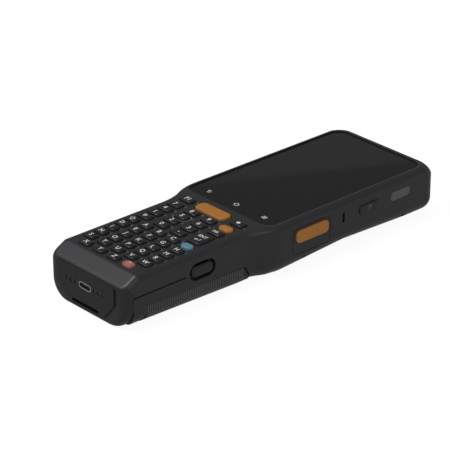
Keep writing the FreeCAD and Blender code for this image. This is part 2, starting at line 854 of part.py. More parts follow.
battery_shell = side_profile("battery_shell", [
    ("-battery_start", "-battery_tail_depth"),
    ("-battery_end - battery_flat", "-battery_neck_depth"),
    ("-battery_end", "-battery_neck_depth"),
    ("-battery_end - battery_lean", "-battery_shoulder"),
    ("-battery_start + battery_lean", "-battery_shoulder"),
], half_battery)
soften(battery_shell, lambda edge: edge.BoundBox.ZMax < value("-battery_tail_depth") + 0.01
       and edge.BoundBox.XLength < 0.01, "battery_round")
bay_middle = "-(bay_start + bay_end) / 2"
bay_long = "(bay_start - bay_end)"
battery_body = plate("battery_body", "0", bay_middle, "bay_width - 2 * battery_gap",
                     f"{bay_long} - 2 * battery_gap", "board_corner", "-battery_shoulder - bite",
                     "-bay_ceiling")
cell_middle = "-(cell_start + cell_end) / 2"
cell_long = "(cell_start - cell_end)"
cell_low = "-battery_tail_depth + cell_wall"
cell_high = "-bay_ceiling - cell_wall"
cell = plate("cell", "0", cell_middle, "cell_width", cell_long, "cell_corner", cell_low, cell_high)
finish("battery_cell", cell)
battery_whole = fuse("battery_whole", [battery_shell, battery_body])
finish("battery_case", cut("battery_hollow", battery_whole, cell))
boat_room = side_profile("boat_room", [
    ("-battery_start - battery_gap", below),
    ("-battery_end + battery_gap", below),
    ("-battery_end + battery_gap", "-battery_neck_depth"),
    ("-battery_end - battery_lean + battery_gap", "-battery_shoulder + battery_gap"),
    ("-battery_start + battery_lean - battery_gap", "-battery_shoulder + battery_gap"),
    ("-battery_start - battery_gap", "-battery_tail_depth"),
], "head_width")
bay = plate("bay", "0", bay_middle, "bay_width", bay_long, "board_corner", "-battery_shoulder - bite",
            "-bay_ceiling")
back_cuts.extend([boat_room, bay])
contact_blocks = []
for index in range(4):
    x = f"({index} - 1.5) * strip_pitch"
    strip = slab("battery_strip_%d" % index, f"{x} - strip_width / 2", f"{x} + strip_width / 2",
                 "-bay_end - strip_start - strip_length", "-bay_end - strip_start",
                 "-bay_ceiling", "-bay_ceiling + strip_thickness")
    contact_blocks.append(strip)
battery_contacts = fuse("battery_strips", contact_blocks)
finish("battery_contacts", battery_contacts)
back_cuts.append(battery_contacts)


# Bottom end: the cap, its proud plate, the charging socket and the cradle contacts
plate_start = "(-grip_length - plate_proud)"
face_plate = new_body("face_plate")
face_sketch = sketch_on(face_plate, "XZ_Plane", "grip_length - bite")
outline(face_sketch, [
    ("-plate_foot / 2", "-plate_bottom"),
    ("plate_foot / 2", "-plate_bottom"),
    ("plate_width / 2", "-plate_waist"),
    ("plate_width / 2", "-plate_top"),
    ("-plate_width / 2", "-plate_top"),
    ("-plate_width / 2", "-plate_waist"),
])
pad(face_plate, face_sketch, "plate_proud + bite")
soften(face_plate, lambda edge: edge.BoundBox.YLength > value("plate_proud"), "plate_corner")
port_middle = ("0", "-port_depth")
port_radius = "port_height / 2 - hair"
port_hole = end_pill("port_hole", *port_middle, "port_width", "port_height", port_radius, plate_start,
                     "port_length")
bore_radius = "port_height / 2 - port_wall"
port_shell = end_pill("port_shell", *port_middle, "port_width", "port_height", port_radius, plate_start,
                      "port_length")
port_bore = end_pill("port_bore", *port_middle, "port_width - 2 * port_wall", "port_height - 2 * port_wall",
                     bore_radius + " - hair", f"{plate_start} - bite", "port_length")
finish("usb_c_shell", cut("port_sleeve", port_shell, port_bore))
tongue_start = f"{plate_start} + port_length - tongue_root - tongue_length"
tongue = end_pill("tongue", *port_middle, "tongue_width", "tongue_thickness", "tongue_corner", tongue_start,
                  "tongue_length")
finish("usb_c_tongue", tongue)
pins = []
pin_holes = []
for side in (-1, 1):
    for index in range(3):
        name = "pin_%s_%d" % ("left" if side < 0 else "right", index)
        x = f"{side} * (contact_start + {index} * contact_pitch)"
        pin = end_pill(name, x, "-port_depth", "2 * contact_radius", "2 * contact_radius",
                       "contact_radius - hair", f"{plate_start} + contact_sink", "contact_length")
        hole = end_pill(name + "_hole", x, "-port_depth", "2 * contact_radius + 2 * contact_rim",
                        "2 * contact_radius + 2 * contact_rim", "contact_radius + contact_rim - hair",
                        f"{plate_start} - bite", "contact_sink + contact_rim + bite")
        pins.append(pin)
        pin_holes.append(hole)
charging_pins = fuse("charging_pins", pins)
finish("charging_contacts", charging_pins)
end_slot = end_pill("end_slot", "0", "-slot_depth", "slot_width", "slot_height", "slot_corner",
                    f"{plate_start} - bite", "slot_reach + bite")
end_cuts = fuse("end_cuts", [port_hole, charging_pins, end_slot] + pin_holes)
cap_solid = common("cap_solid", form, cap_block)
finish("end_cap", cut("cap_with_holes", cap_solid, fuse("cap_cuts", [face_plate, end_cuts])))
finish("end_plate", cut("plate_with_holes", face_plate, end_cuts))
front_cuts.append(port_hole)
back_cuts.append(port_hole)


# Scanner end: the bezel, its window and the scan engine behind
bezel_start = "head_length - bite"
bezel_block = end_pill("bezel_block", "0", "-(bezel_top + bezel_bottom) / 2", "bezel_width",
                       "bezel_bottom - bezel_top", "bezel_corner", bezel_start, "bezel_proud + bite")
soften(bezel_block, lambda edge: edge.BoundBox.YMin > value("head_length + bezel_proud") - 0.01, "key_round")
window_start = "head_length + bezel_proud - window_sink - window_thickness"
window_size = ("0", "-window_depth", "window_width", "window_height", "window_corner")
scan_pane = end_pill("scan_pane", *window_size, window_start, "window_thickness")
window_hole = end_pill("window_hole", *window_size, window_start, "beyond")
light_path = end_pill("light_path", "0", "-window_depth", "window_width - 2 * window_ledge",
                      "window_height - 2 * window_ledge", "block_corner", "head_length - wall - bite",
                      "wall + bite + beyond")
finish("scan_window", scan_pane)
finish("scanner_bezel", cut("bezel_open", bezel_block, fuse("bezel_cuts", [window_hole, light_path])))
engine_start = "head_length - wall - engine_length"
engine_room = end_pill("engine_room", "0", "-window_depth", "engine_width", "engine_height", "module_corner",
                       engine_start, "engine_length")
finish("scan_engine", end_pill("engine", "0", "-window_depth", "engine_width", "engine_height",
                               "module_corner",
                               engine_start, "engine_length"))
for cuts in (front_cuts, back_cuts):
    cuts.extend([engine_room, bezel_block, light_path])


# Back: hump with the camera, loudspeaker behind its slots, and six screws
hump = plate("hump", "0", "hump_start + hump_length / 2", "hump_width", "hump_length", "hump_corner",
             "-floor_depth", "-head_room_depth - bite")
soften(hump, lambda edge: edge.BoundBox.ZMax < value("-floor_depth") + 0.01, "hump_round")
camera_pane = disc("camera_pane", "0", "camera_place", "camera_radius", "-floor_depth + camera_sink",
                   "-floor_depth + camera_sink + camera_glass")
camera_well = disc("camera_well", "0", "camera_place", "camera_radius", "-floor_depth - bite",
                   "-floor_depth + camera_sink + camera_glass")
camera_box = plate("camera_box", "0", "camera_place", "camera_module_width", "camera_module_width",
                   "module_corner",
                   "-floor_depth + camera_sink + camera_glass",
                   "-floor_depth + camera_sink + camera_glass + camera_module_height")
finish("camera_window", camera_pane)
finish("camera_module", camera_box)
sound_box = plate("sound_box", "0", "speaker_place", "speaker_width", "speaker_length", "speaker_corner",
                  "-head_room_depth", "-head_room_depth + speaker_thickness")
finish("speaker", sound_box)
for index in range(-1, 2):
    place = f"speaker_place + {index} * grille_pitch"
    back_cuts.append(plate("grille_%d" % (index + 2), "0", place, "grille_long", "grille_slot",
                           "grille_slot / 2 - hair", "-floor_depth - bite", "-head_room_depth"))
screws = []
for side, word in ((-1, "left"), (1, "right")):
    for index in range(3):
        name = "screw_%s_%d" % (word, index)
        x = f"{side} * ({head_side} - screw_inset)"
        y = f"screw_first + {index} * screw_pitch"
        screw_top = "-screw_well_depth + screw_head_tall"
        head_piece = disc(name + "_head", x, y, "screw_head", "-screw_well_depth", screw_top)
        shank = disc(name + "_shank", x, y, "screw_shank", "-screw_well_depth",
                     "-screw_well_depth + screw_length")
        screws.extend([head_piece, shank])
        back_cuts.append(disc(name + "_well", x, y, "screw_well", below, "-screw_well_depth"))
housing_screws = fuse("screw_group", screws)
finish("housing_screws", housing_screws)
back_cuts.extend([camera_well, camera_box, housing_screws])


# Front and back housings
front_solid = common("front_solid", form, front_block)
finish("front_housing", cut("front_open", front_solid, fuse("front_tools", front_cuts + windows)))
back_solid = common("back_solid", form, back_block)
back_with_hump = fuse("back_with_hump", [back_solid, hump])
finish("back_housing", cut("back_open", back_with_hump, fuse("back_tools", back_cuts)))


# Place every finished piece over the origin, check it and write it
shift_y = "(grip_length + plate_proud - head_length - bezel_proud) / 2"
doc.recompute()
placed = []
for name, thing in finished.items():
    holder = doc.addObject("Part::Compound", "placed_" + name)
    holder.Links = [thing]
    thing.Label = name + "_shape"
    holder.Label = name
    bind(holder, ".Placement.Base.y", shift_y)
    bind(holder, ".Placement.Base.z", "floor_depth")
    placed.append(holder)
doc.recompute()
failed = [item.Name for item in doc.Objects if "Invalid" in item.State or "Error" in item.State]
if failed:
    raise RuntimeError("these did not build: " + ", ".join(failed))
for holder in placed:
    shape = holder.Shape
    if shape.isNull() or not shape.isValid() or not shape.Solids:
        raise RuntimeError(holder.Label + " has no valid solid")
os.makedirs("parts", exist_ok=True)
for holder in placed:
    holder.Shape.exportStep("parts/" + holder.Label + ".step")
print("wrote", len(placed), "pieces")
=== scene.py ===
import math

import bmesh
import bpy
from mathutils import Matrix, Vector
from mathutils.bvhtree import BVHTree


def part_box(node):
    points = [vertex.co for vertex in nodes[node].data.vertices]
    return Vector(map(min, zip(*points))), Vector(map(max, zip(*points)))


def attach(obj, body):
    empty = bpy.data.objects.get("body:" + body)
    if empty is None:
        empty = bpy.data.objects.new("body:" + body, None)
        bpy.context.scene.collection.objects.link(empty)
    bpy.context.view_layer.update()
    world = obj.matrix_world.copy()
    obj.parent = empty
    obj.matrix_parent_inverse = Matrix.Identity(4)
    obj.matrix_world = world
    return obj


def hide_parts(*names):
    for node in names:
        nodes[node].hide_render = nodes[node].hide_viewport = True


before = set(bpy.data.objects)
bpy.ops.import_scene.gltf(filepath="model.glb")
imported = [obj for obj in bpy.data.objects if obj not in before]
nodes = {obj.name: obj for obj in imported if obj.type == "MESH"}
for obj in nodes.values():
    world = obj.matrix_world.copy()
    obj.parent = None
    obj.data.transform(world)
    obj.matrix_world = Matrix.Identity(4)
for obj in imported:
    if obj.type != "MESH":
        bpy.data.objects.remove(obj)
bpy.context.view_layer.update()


# Origin of the working drawing: the middle of the screen glass's lower edge, on the glass.
# Sizes below are in millimetres from there, +X right, +Y to the scanner end, +Z out of the screen.
glass_low, glass_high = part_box("screen_glass")
drawing_origin = Vector((0, glass_low.y, glass_high.z))


def to_row(x, y, z):
    """A point of the working drawing, in the row frame's metres."""
    return drawing_origin + Vector((x, y, z)) / 1000


def solid_from(name, points, faces, body, material):
    """A mesh piece from points in drawing millimetres, riding on a CAD body."""
    mesh = bpy.data.meshes.new(name)
    mesh.from_pydata([to_row(*point) for point in points], [], faces)
    mesh.materials.append(material)
    piece = bpy.data.objects.new(name, mesh)
    bpy.context.collection.objects.link(piece)
    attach(piece, body)
    return piece


# Housings. Two shells moulded in near-black polycarbonate with a fine spark-eroded texture.
# The texture is a fine grain, with broader patches where handling has polished it.
def moulded(name, colour, roughness, grain=0.0, relief=0.0, patch=0.06, specular=0.5):
    """A moulded plastic: grain is the texture's size in mm and relief its depth in mm."""
    patches_per_metre = 45
    polish = 0.03
    material = bpy.data.materials.new(name)
    material.use_nodes = True
    tree = material.node_tree
    shader = tree.nodes["Principled BSDF"]
    place = tree.nodes.new("ShaderNodeTexCoord")
    blotch = tree.nodes.new("ShaderNodeTexNoise")
    blotch.inputs["Scale"].default_value = patches_per_metre
    blotch.inputs["Detail"].default_value = 5
    tree.links.new(place.outputs["Object"], blotch.inputs["Vector"])
    tint = tree.nodes.new("ShaderNodeValToRGB")
    tint.color_ramp.elements[0].position = 0.32
    tint.color_ramp.elements[1].position = 0.70
    tint.color_ramp.elements[0].color = [value * (1 - patch) for value in colour] + [1]
    tint.color_ramp.elements[1].color = [value * (1 + patch) for value in colour] + [1]
    tree.links.new(blotch.outputs["Fac"], tint.inputs["Fac"])
    tree.links.new(tint.outputs["Color"], shader.inputs["Base Color"])
    gloss = tree.nodes.new("ShaderNodeMapRange")
    gloss.inputs["To Min"].default_value = roughness + polish
    gloss.inputs["To Max"].default_value = roughness - polish
    tree.links.new(blotch.outputs["Fac"], gloss.inputs["Value"])
    tree.links.new(gloss.outputs["Result"], shader.inputs["Roughness"])
    if grain:
        texture = tree.nodes.new("ShaderNodeTexNoise")
        texture.inputs["Scale"].default_value = 1000 / grain
        texture.inputs["Detail"].default_value = 2
        tree.links.new(place.outputs["Object"], texture.inputs["Vector"])
        bump = tree.nodes.new("ShaderNodeBump")
        bump.inputs["Strength"].default_value = 0.6
        bump.inputs["Distance"].default_value = relief / 1000
        tree.links.new(texture.outputs["Fac"], bump.inputs["Height"])
        tree.links.new(bump.outputs["Normal"], shader.inputs["Normal"])
    shader.inputs["Specular IOR Level"].default_value = specular
    return material


def dress(material, *names):
    """Gives CAD nodes a material."""
    for name in names:
        nodes[name].data.materials.clear()
        nodes[name].data.materials.append(material)


housing_black = moulded("housing_black", (0.0165, 0.0168, 0.0188), 0.36,
                        grain=0.35, relief=0.015, specular=0.42)
dress(housing_black, "right_key_panel", "left_key_panel")
back_black = moulded("back_black", (0.0160, 0.0163, 0.0183), 0.37,
                     grain=0.35, relief=0.015, specular=0.42)


# Front housing's nose. The shell's face runs out in round corners over the scanner end, which slopes
# away below it. The shell here is the CAD's, trimmed to that form with one shaped block.
def rounded_ring(x, y, wide, tall, corner, z, steps=6):
    """The points of a rectangle with round corners, anticlockwise seen from above."""
    corner = min(corner, wide / 2 - 0.01, tall / 2 - 0.01)
    ring = []
    for turn, side_x, side_y in ((0, 1, 1), (1, -1, 1), (2, -1, -1), (3, 1, -1)):
        middle_x = x + side_x * (wide / 2 - corner)
        middle_y = y + side_y * (tall / 2 - corner)
        for step in range(steps + 1):
            angle = (turn + step / steps) * math.pi / 2
            ring.append((middle_x + corner * math.cos(angle), middle_y + corner * math.sin(angle), z))
    return ring


def bridge(rings, closed_top=True, closed_bottom=False):
    """Faces between rings of equal length, outward when the rings rise, and over the end rings."""
    count = len(rings[0])
    faces = []
    for level in range(len(rings) - 1):
        for step in range(count):
            following = (step + 1) % count
            low, high = level * count, (level + 1) * count
            faces.append((low + step, low + following, high + following, high + step))
    if closed_top:
        start = (len(rings) - 1) * count
        faces.append(tuple(range(start, start + count)))
    if closed_bottom:
        faces.append(tuple(reversed(range(count))))
    return faces


def cutter(name, points, faces):
    """A closed mesh for cutting, with its faces turned outwards."""
    mesh = bpy.data.meshes.new(name)
    mesh.from_pydata([to_row(*point) for point in points], [], faces)
    shape = bmesh.new()
    shape.from_mesh(mesh)
    bmesh.ops.recalc_face_normals(shape, faces=shape.faces)
    shape.to_mesh(mesh)
    shape.free()
    tool = bpy.data.objects.new(name, mesh)
    bpy.context.collection.objects.link(tool)
    return tool


def joined_flats(mesh, name):
    """A copy of a mesh with its triangles joined where they lie in one plane."""
    shape = bmesh.new()
    shape.from_mesh(mesh)
    bmesh.ops.remove_doubles(shape, verts=shape.verts, dist=0.000002)
    bmesh.ops.dissolve_limit(shape, angle_limit=math.radians(0.4), verts=shape.verts, edges=shape.edges)
    whole = bpy.data.meshes.new(name)
    shape.to_mesh(whole)
    shape.free()
    return whole


def evaluated_mesh(piece):
    """A plain mesh of a piece as its modifiers leave it."""
    bpy.context.view_layer.update()
    return bpy.data.meshes.new_from_object(piece.evaluated_get(bpy.context.evaluated_depsgraph_get()))


def carved(name, start, steps, body, material):
    """A piece cut from a mesh with other meshes, with smooth shading except over sharp edges."""
    sharp_angle = math.radians(32)
    whole = joined_flats(start, name)
    if whole.has_custom_normals:
        whole.attributes.remove(whole.attributes["custom_normal"])
    piece = bpy.data.objects.new(name, whole)
    bpy.context.collection.objects.link(piece)
    for operation, tool in steps:
        modifier = piece.modifiers.new("carve", "BOOLEAN")
        modifier.operation = operation
        modifier.object = tool
        modifier.solver = "EXACT"
    cut_mesh = joined_flats(evaluated_mesh(piece), name)
    piece.modifiers.clear()
    piece.data = cut_mesh
    for _, tool in steps:
        bpy.data.objects.remove(tool)
    for polygon in cut_mesh.polygons:
        polygon.use_smooth = True
    cut_mesh.set_sharp_from_angle(angle=sharp_angle)
    even = piece.modifiers.new("even", "WEIGHTED_NORMAL")
    even.keep_sharp = True
    even_mesh = evaluated_mesh(piece)
    piece.modifiers.clear()
    piece.data = even_mesh
    even_mesh.materials.clear()
    even_mesh.materials.append(material)
    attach(piece, body)
    return piece


# The block's rings from below: height, half width, how far the nose reaches, and corner radius.
nose_profile = (
    (-28.5, 35.4, 117.6, 6.0),
    (-7.5, 35.4, 117.6, 6.0),
    (-5.5, 35.4, 117.3, 6.3),
    (-3.6, 35.4, 116.7, 6.8),
    (-2.2, 35.4, 116.0, 7.4),
    (-1.2, 35.15, 115.3, 8.0),
    (-0.3, 34.6, 114.6, 8.4),
    (0.3, 33.8, 113.9, 8.8),
    (0.7, 32.3, 113.1, 9.0),
    (1.2, 31.0, 112.4, 9.0),
)
past_tail = 100
nose_rings = []
for height, half, reach, corner in nose_profile:
    middle_y = (reach - past_tail) / 2
    nose_rings.append(rounded_ring(0, middle_y, 2 * half, reach + past_tail, corner, height, 8))
nose_points = [point for ring in nose_rings for point in ring]
nose_block = cutter("nose_block", nose_points, bridge(nose_rings, True, True))
front_shell = carved("front_shell", nodes["front_housing"].data, [("INTERSECT", nose_block)],
                     "terminal", housing_black)
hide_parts("front_housing")
back_shell = carved("back_shell", nodes["back_housing"].data, [], "terminal", back_black)
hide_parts("back_housing")
# Both shells grow by the swell, in metres, from its start to its end.
swell_start = to_row(0, 100, 0).y
swell_end = to_row(0, 117.5, 0).y
swell = 0.0010
for shell in (front_shell, back_shell):
    for vertex in shell.data.vertices:
        if vertex.co.y > swell_start:
            vertex.co.y += swell * min((vertex.co.y - swell_start) / (swell_end - swell_start), 1) ** 2


# Bottom end cap and its face plate, and the scanner's bezel. Plain matt mouldings, a shade darker than
# the shells, fixed over the ends. The cap is one rounded block here, with two rooms behind its plate.
cap_black = moulded("cap_black", (0.0135, 0.0138, 0.0145), 0.38, grain=0.3, relief=0.015, specular=0.38)
plate_black = moulded("plate_black", (0.0100, 0.0102, 0.0108), 0.42, grain=0.3, relief=0.012, specular=0.34)
dress(cap_black, "scanner_bezel")
dress(plate_black, "end_plate")
cap_half = 28.45
cap_face = -92.3
cap_seam = -86.3
cap_crown = -89.6
top_height = 0.7
top_start = -83.0
top_length = 9.3
top_fall = 5.0
foot_height = -27.45
foot_slope = 0.14
top_round = 3
foot_round = 10
cap_arc_steps = 8
# The cap's rings from its face inwards: place along the terminal, then the insets at side, foot and top.
cap_profile = (
    (-92.3, 4.6, 2.2, 1.8),
    (-92.1, 3.3, 1.4, 1.0),
    (-91.6, 2.0, 0.75, 0.45),
    (-90.9, 1.1, 0.35, 0.2),
    (-89.9, 0.45, 0.12, 0.05),
    (-88.6, 0.1, 0, 0),
    (-80.0, 0, 0, 0),
)
cap_rings = []
for y, side_inset, foot_inset, top_inset in cap_profile:
    half = cap_half - side_inset
    top = top_height - top_fall * (top_start - y) / top_length - top_inset
    foot = foot_height + (y - cap_face) * foot_slope + foot_inset
    ring = []
    for centre_x, centre_z, radius, first in (
            (half - top_round, top - top_round, top_round, 0),
            (-half + top_round, top - top_round, top_round, 90),
            (-half + foot_round, foot + foot_round, foot_round, 180),
            (half - foot_round, foot + foot_round, foot_round, 270)):
        for step in range(cap_arc_steps + 1):
            angle = math.radians(first + step * 90 / cap_arc_steps)
            ring.append((centre_x + radius * math.cos(angle), y, centre_z + radius * math.sin(angle)))
    cap_rings.append(ring)
cap_whole = cutter("cap_whole", [point for ring in cap_rings for point in ring],
                   bridge(cap_rings, True, True))
# The cap keeps what lies inside its side outline, and has two rooms behind the plate: each a half width
# and its lower and upper height.
beyond_cap = -97
beside_cap = 40
below_cap = -35
above_cap = 5
seam_bend = -10.3
crown_bend = -2.7
cap_side = ((beyond_cap, below_cap), (cap_seam, below_cap), (cap_seam, seam_bend),
            (cap_crown, crown_bend), (cap_crown, above_cap), (beyond_cap, above_cap))
cap_block = cutter("cap_block", [(x, y, z) for x in (-beside_cap, beside_cap) for y, z in cap_side],
                   bridge([range(6), range(6, 12)], True, True))
plate_rooms = ((17, -14.4, -5.2), (12.5, -23.9, -14.3))
room_start, room_end = -95, -85
behind_plate = []
for half, low, high in plate_rooms:
    outline = ((-half, low), (half, low), (half, high), (-half, high))
    corners = [(x, y, z) for y in (room_start, room_end) for x, z in outline]
    room = cutter("behind_plate", corners, bridge([range(4), range(4, 8)], True, True))
    behind_plate.append(("DIFFERENCE", room))
cap_mesh = cap_whole.data
bpy.data.objects.remove(cap_whole)
cap_shell = carved("cap_shell", cap_mesh, [("INTERSECT", cap_block)] + behind_plate,
                   "terminal", cap_black)
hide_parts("end_cap")


# Screen. A black cover glass, polished, with a ground edge, in a thin rubber gasket.
# The display lies under it, unlit. The ground edge is a narrow chamfer all round the glass.
def gloss_black(name, colour, roughness):
    """Polished glass over black: dark under a clear surface, with the faint smears of handling."""
    material = bpy.data.materials.new(name)
    material.use_nodes = True
    tree = material.node_tree
    shader = tree.nodes["Principled BSDF"]
    shader.inputs["Base Color"].default_value = (*colour, 1)
    place = tree.nodes.new("ShaderNodeTexCoord")
    smear = tree.nodes.new("ShaderNodeTexNoise")
    smear.inputs["Scale"].default_value = 38
    smear.inputs["Detail"].default_value = 3
    smear.inputs["Distortion"].default_value = 1.2
    tree.links.new(place.outputs["Object"], smear.inputs["Vector"])
    gloss = tree.nodes.new("ShaderNodeMapRange")
    gloss.inputs["To Min"].default_value = roughness
    gloss.inputs["To Max"].default_value = roughness + 0.03
    tree.links.new(smear.outputs["Fac"], gloss.inputs["Value"])
    tree.links.new(gloss.outputs["Result"], shader.inputs["Roughness"])
    return material


cover_glass = gloss_black("cover_glass", (0.0045, 0.0045, 0.005), 0.015)
gasket_rubber = moulded("gasket_rubber", (0.008, 0.008, 0.008), 0.7)
display_black = gloss_black("display_black", (0.012, 0.012, 0.013), 0.2)
dress(cover_glass, "screen_glass")
dress(gasket_rubber, "screen_gasket")
dress(display_black, "display_panel")
glass_wide = 62.5
glass_long = 110.9
glass_corner = 5.5
ground_width = 0.8
ground_low = -0.16
ground_high = 0.006
glass_middle = (0, glass_long / 2)
ground_edge = moulded("ground_edge", (0.10, 0.10, 0.105), 0.3)
edge_outer = rounded_ring(*glass_middle, glass_wide, glass_long, glass_corner, ground_low)
edge_inner = rounded_ring(*glass_middle, glass_wide - ground_width, glass_long - ground_width,
                          glass_corner - ground_width / 2, ground_high)
solid_from("glass_ground_edge", edge_outer + edge_inner, bridge([edge_outer, edge_inner], False),
           "terminal", ground_edge)


# Lip of the screen's opening. Its moulded edge catches the light along the right side of the glass.
# That highlight is painted here, as a thin light grey line laid on the front housing.
lip_low, lip_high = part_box("screen_gasket")
lip_wide = (lip_high.x - lip_low.x) * 1000
lip_long = (lip_high.y - lip_low.y) * 1000
lip_height = 0.706
lip_growth = 0.7
lip_gap = 0.1
lip_round = 0.4
lip_outer = rounded_ring(*glass_middle, lip_wide + lip_growth, lip_long + lip_growth,
                         glass_corner + lip_growth, lip_height)
lip_inner = rounded_ring(*glass_middle, lip_wide + lip_gap, lip_long + lip_gap,
                         glass_corner + lip_round, lip_height)
corner_count = 7
line_count = 2 * corner_count
lip_points = (lip_outer[-corner_count:] + lip_outer[:corner_count]
              + lip_inner[-corner_count:] + lip_inner[:corner_count])
lip_faces = [(step, step + 1, step + line_count + 1, step + line_count) for step in range(line_count - 1)]
# The line's light grey colour is a painted highlight, on the right side of the opening only.
solid_from("lip_line", lip_points, lip_faces, "terminal",
           moulded("lip_painted_highlight", (0.060, 0.060, 0.063), 0.3))


# Touch marks on the glass: back arrow, home and menu, printed in white under its lower margin.
# Each is a thin line drawing, a hair above the glass here.
white_print = moulded("white_print", (0.50, 0.50, 0.50), 0.5, patch=0.04)


def stroke(points, path, width, z, plane="top"):
    """Adds a flat line of a given width along a path to a list of points, and gives its faces."""
    faces = []
    for start, stop in zip(path, path[1:]):
        along = (Vector(stop) - Vector(start)).normalized()
        side = Vector((-along.y, along.x)) * width / 2
        reach = along * width * 0.3
        first = len(points)
        for corner in (Vector(start) - reach - side, Vector(stop) + reach - side,
                       Vector(stop) + reach + side, Vector(start) - reach + side):
            points.append((corner.x, corner.y, z) if plane == "top" else (z, corner.x, corner.y))
        faces.append((first, first + 1, first + 2, first + 3))
    return faces


def arc_path(x, y, radius, first, last, steps):
    """Points along part of a circle, angles in degrees."""
    angles = [math.radians(first + (last - first) * step / steps) for step in range(steps + 1)]
    return [(x + radius * math.cos(angle), y + radius * math.sin(angle)) for angle in angles]


touch_points = []
touch_faces = []
touch_row = 7.0
touch_pitch = 20.66
print_height = 0.012
back_x = -touch_pitch
touch_paths = [
    [(back_x - 1.3, touch_row + 0.7), (back_x + 0.7, touch_row + 0.7)]
    + arc_path(back_x + 0.7, touch_row - 0.1, 0.8, 90, -90, 8) + [(back_x - 0.8, touch_row - 0.9)],
    [(back_x - 0.5, touch_row + 1.5), (back_x - 1.4, touch_row + 0.7), (back_x - 0.5, touch_row - 0.1)],
    [(-1.7, touch_row - 0.1), (0, touch_row + 1.4), (1.7, touch_row - 0.1)],
    [(-1.15, touch_row + 0.2), (-1.15, touch_row - 1.2), (1.15, touch_row - 1.2), (1.15, touch_row + 0.2)],
]
for level in (-0.9, 0, 0.9):
    touch_paths.append([(touch_pitch - 1.3, touch_row + level), (touch_pitch + 1.3, touch_row + level)])
for path in touch_paths:
    touch_faces += stroke(touch_points, path, 0.42, print_height)
solid_from("touch_marks", touch_points, touch_faces, "terminal", white_print)


# Keys. Each is a hard plastic cap on a silicone mat, with a straight skirt and a rolled edge. A row of
# letters moves as one here, as in the CAD, and the caps replace the CAD's plain keys.
key_black = moulded("key_black", (0.011, 0.0113, 0.012), 0.32, patch=0.08, specular=0.4)
key_orange = moulded("key_orange_satin", (0.283, 0.108, 0.0165), 0.42, patch=0.06, specular=0.3)
key_blue = moulded("key_blue_satin", (0.076, 0.162, 0.212), 0.40, patch=0.06, specular=0.3)
key_red = moulded("key_red_satin", (0.23, 0.070, 0.070), 0.40, patch=0.06, specular=0.3)
key_top = 1.88
letter_pitch = 10.28
row_pitch = 6.72
row_six = -44.84
last_row_pitch = 10.7
number_pitch = 12.71
block_gap = 0.25
function_row = -9.3


def letter_place(column, row):
    """The middle of a letter key: columns from the middle one, rows from the near end."""
    return column * letter_pitch, row_six + (row - 6) * row_pitch


def number_place(column, row):
    """The middle of a key of the figure block, which stands a little apart from the letters."""
    return column * number_pitch, row_six + (row - 6) * row_pitch + block_gap


def key_caps(node, places, wide, tall, corner, material, slot):
    """The visible caps of one CAD key node: skirt, rolled edge and nearly flat top."""
    points = []
    faces = []
    profile = ((-1.0, 0.0), (0.55, 0.06), (1.25, 0.16), (1.52, 0.27), (1.70, 0.44), (1.81, 0.68),
               (1.86, 0.98), (key_top, 1.4))
    for x, y in places:
        rings = []
        for height, inset in profile:
            ring_corner = max(corner - inset * 0.6, 0.5)
            rings.append(rounded_ring(x, y, wide - 2 * inset, tall - 2 * inset, ring_corner, height))
        first = len(points)
        for ring in rings:
            points.extend(ring)
        faces.extend(tuple(first + index for index in face) for face in bridge(rings))
    piece = solid_from("caps_" + node, points, faces, node, material)
    for polygon in piece.data.polygons:
        polygon.use_smooth = len(polygon.vertices) == 4
    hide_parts(node)


# Each key size is its width, its length and its corner radius.
letter_size = (7.4, 5.2, 1.5)
number_size = (8.8, 5.4, 1.7)
letter_print = 3.7
figure_print = 3.9
sign_print = 6.0
word_print = 2.4
letter_rows = {
    "keys_a_to_c": (6, (-1, 0, 1), "ABC"),
    "keys_d_to_h": (5, (-2, -1, 0, 1, 2), "DEFGH"),
    "keys_i_to_m": (4, (-2, -1, 0, 1, 2), "IJKLM"),
    "keys_n_to_r": (3, (-2, -1, 0, 1, 2), "NOPQR"),
    "keys_s_to_w": (2, (-2, -1, 0, 1, 2), "STUVW"),
}
legends = {}
for node, (row, columns, letters) in letter_rows.items():
    places = [letter_place(column, row) for column in columns]
    key_caps(node, places, *letter_size, key_black, "key_black")
    legends[node] = [(letter, x, y, letter_print) for letter, (x, y) in zip(letters, places)]
last_places = [((column - 1.5) * last_row_pitch, letter_place(0, 1)[1]) for column in range(4)]
key_caps("keys_x_to_z", last_places[:3], *letter_size, key_black, "key_black")
legends["keys_x_to_z"] = [(letter, x, y, letter_print) for letter, (x, y) in zip("XYZ", last_places)]
key_caps("key_red", last_places[3:], 7.4, 5.2, 2.2, key_red, "key_red")
key_caps("key_shift", [letter_place(-2, 6)], *letter_size, key_black, "key_black")
key_caps("key_blue", [letter_place(2, 6)], 7.4, 5.2, 2.5, key_blue, "key_blue")
number_keys = {"key_%d" % digit: ((digit - 1) % 3 - 1.5, 8 + (digit - 1) // 3) for digit in range(1, 10)}
number_keys.update(key_star=(-1.5, 7), key_0=(-0.5, 7), key_point=(0.5, 7), key_word=(1.5, 9))
number_legends = {"key_star": "*", "key_point": ".", "key_word": "DEL"}
for node, (column, row) in number_keys.items():
    place = number_place(column, row)
    key_caps(node, [place], *number_size, key_black, "key_black")
    text = number_legends.get(node, node[-1])
    size = word_print if text == "DEL" else sign_print if text in "*." else figure_print
    legends[node] = [(text, *place, size)]
key_caps("key_orange", [number_place(1.5, 10)], 8.8, 5.4, 2.6, key_orange, "key_orange")
enter_place = (1.5 * number_pitch, row_six + 1.5 * row_pitch + block_gap)
key_caps("key_enter", [enter_place], 8.8, 12.12, 1.7, key_black, "key_black")
legends["key_enter"] = [("ENT", enter_place[0], enter_place[1] + 1.6, 3.0)]
function_x = 1.5 * number_pitch
key_caps("key_program", [(-function_x, function_row)], *number_size, key_black, "key_black")
legends["key_program"] = [("F1", -function_x, function_row, 4.2)]
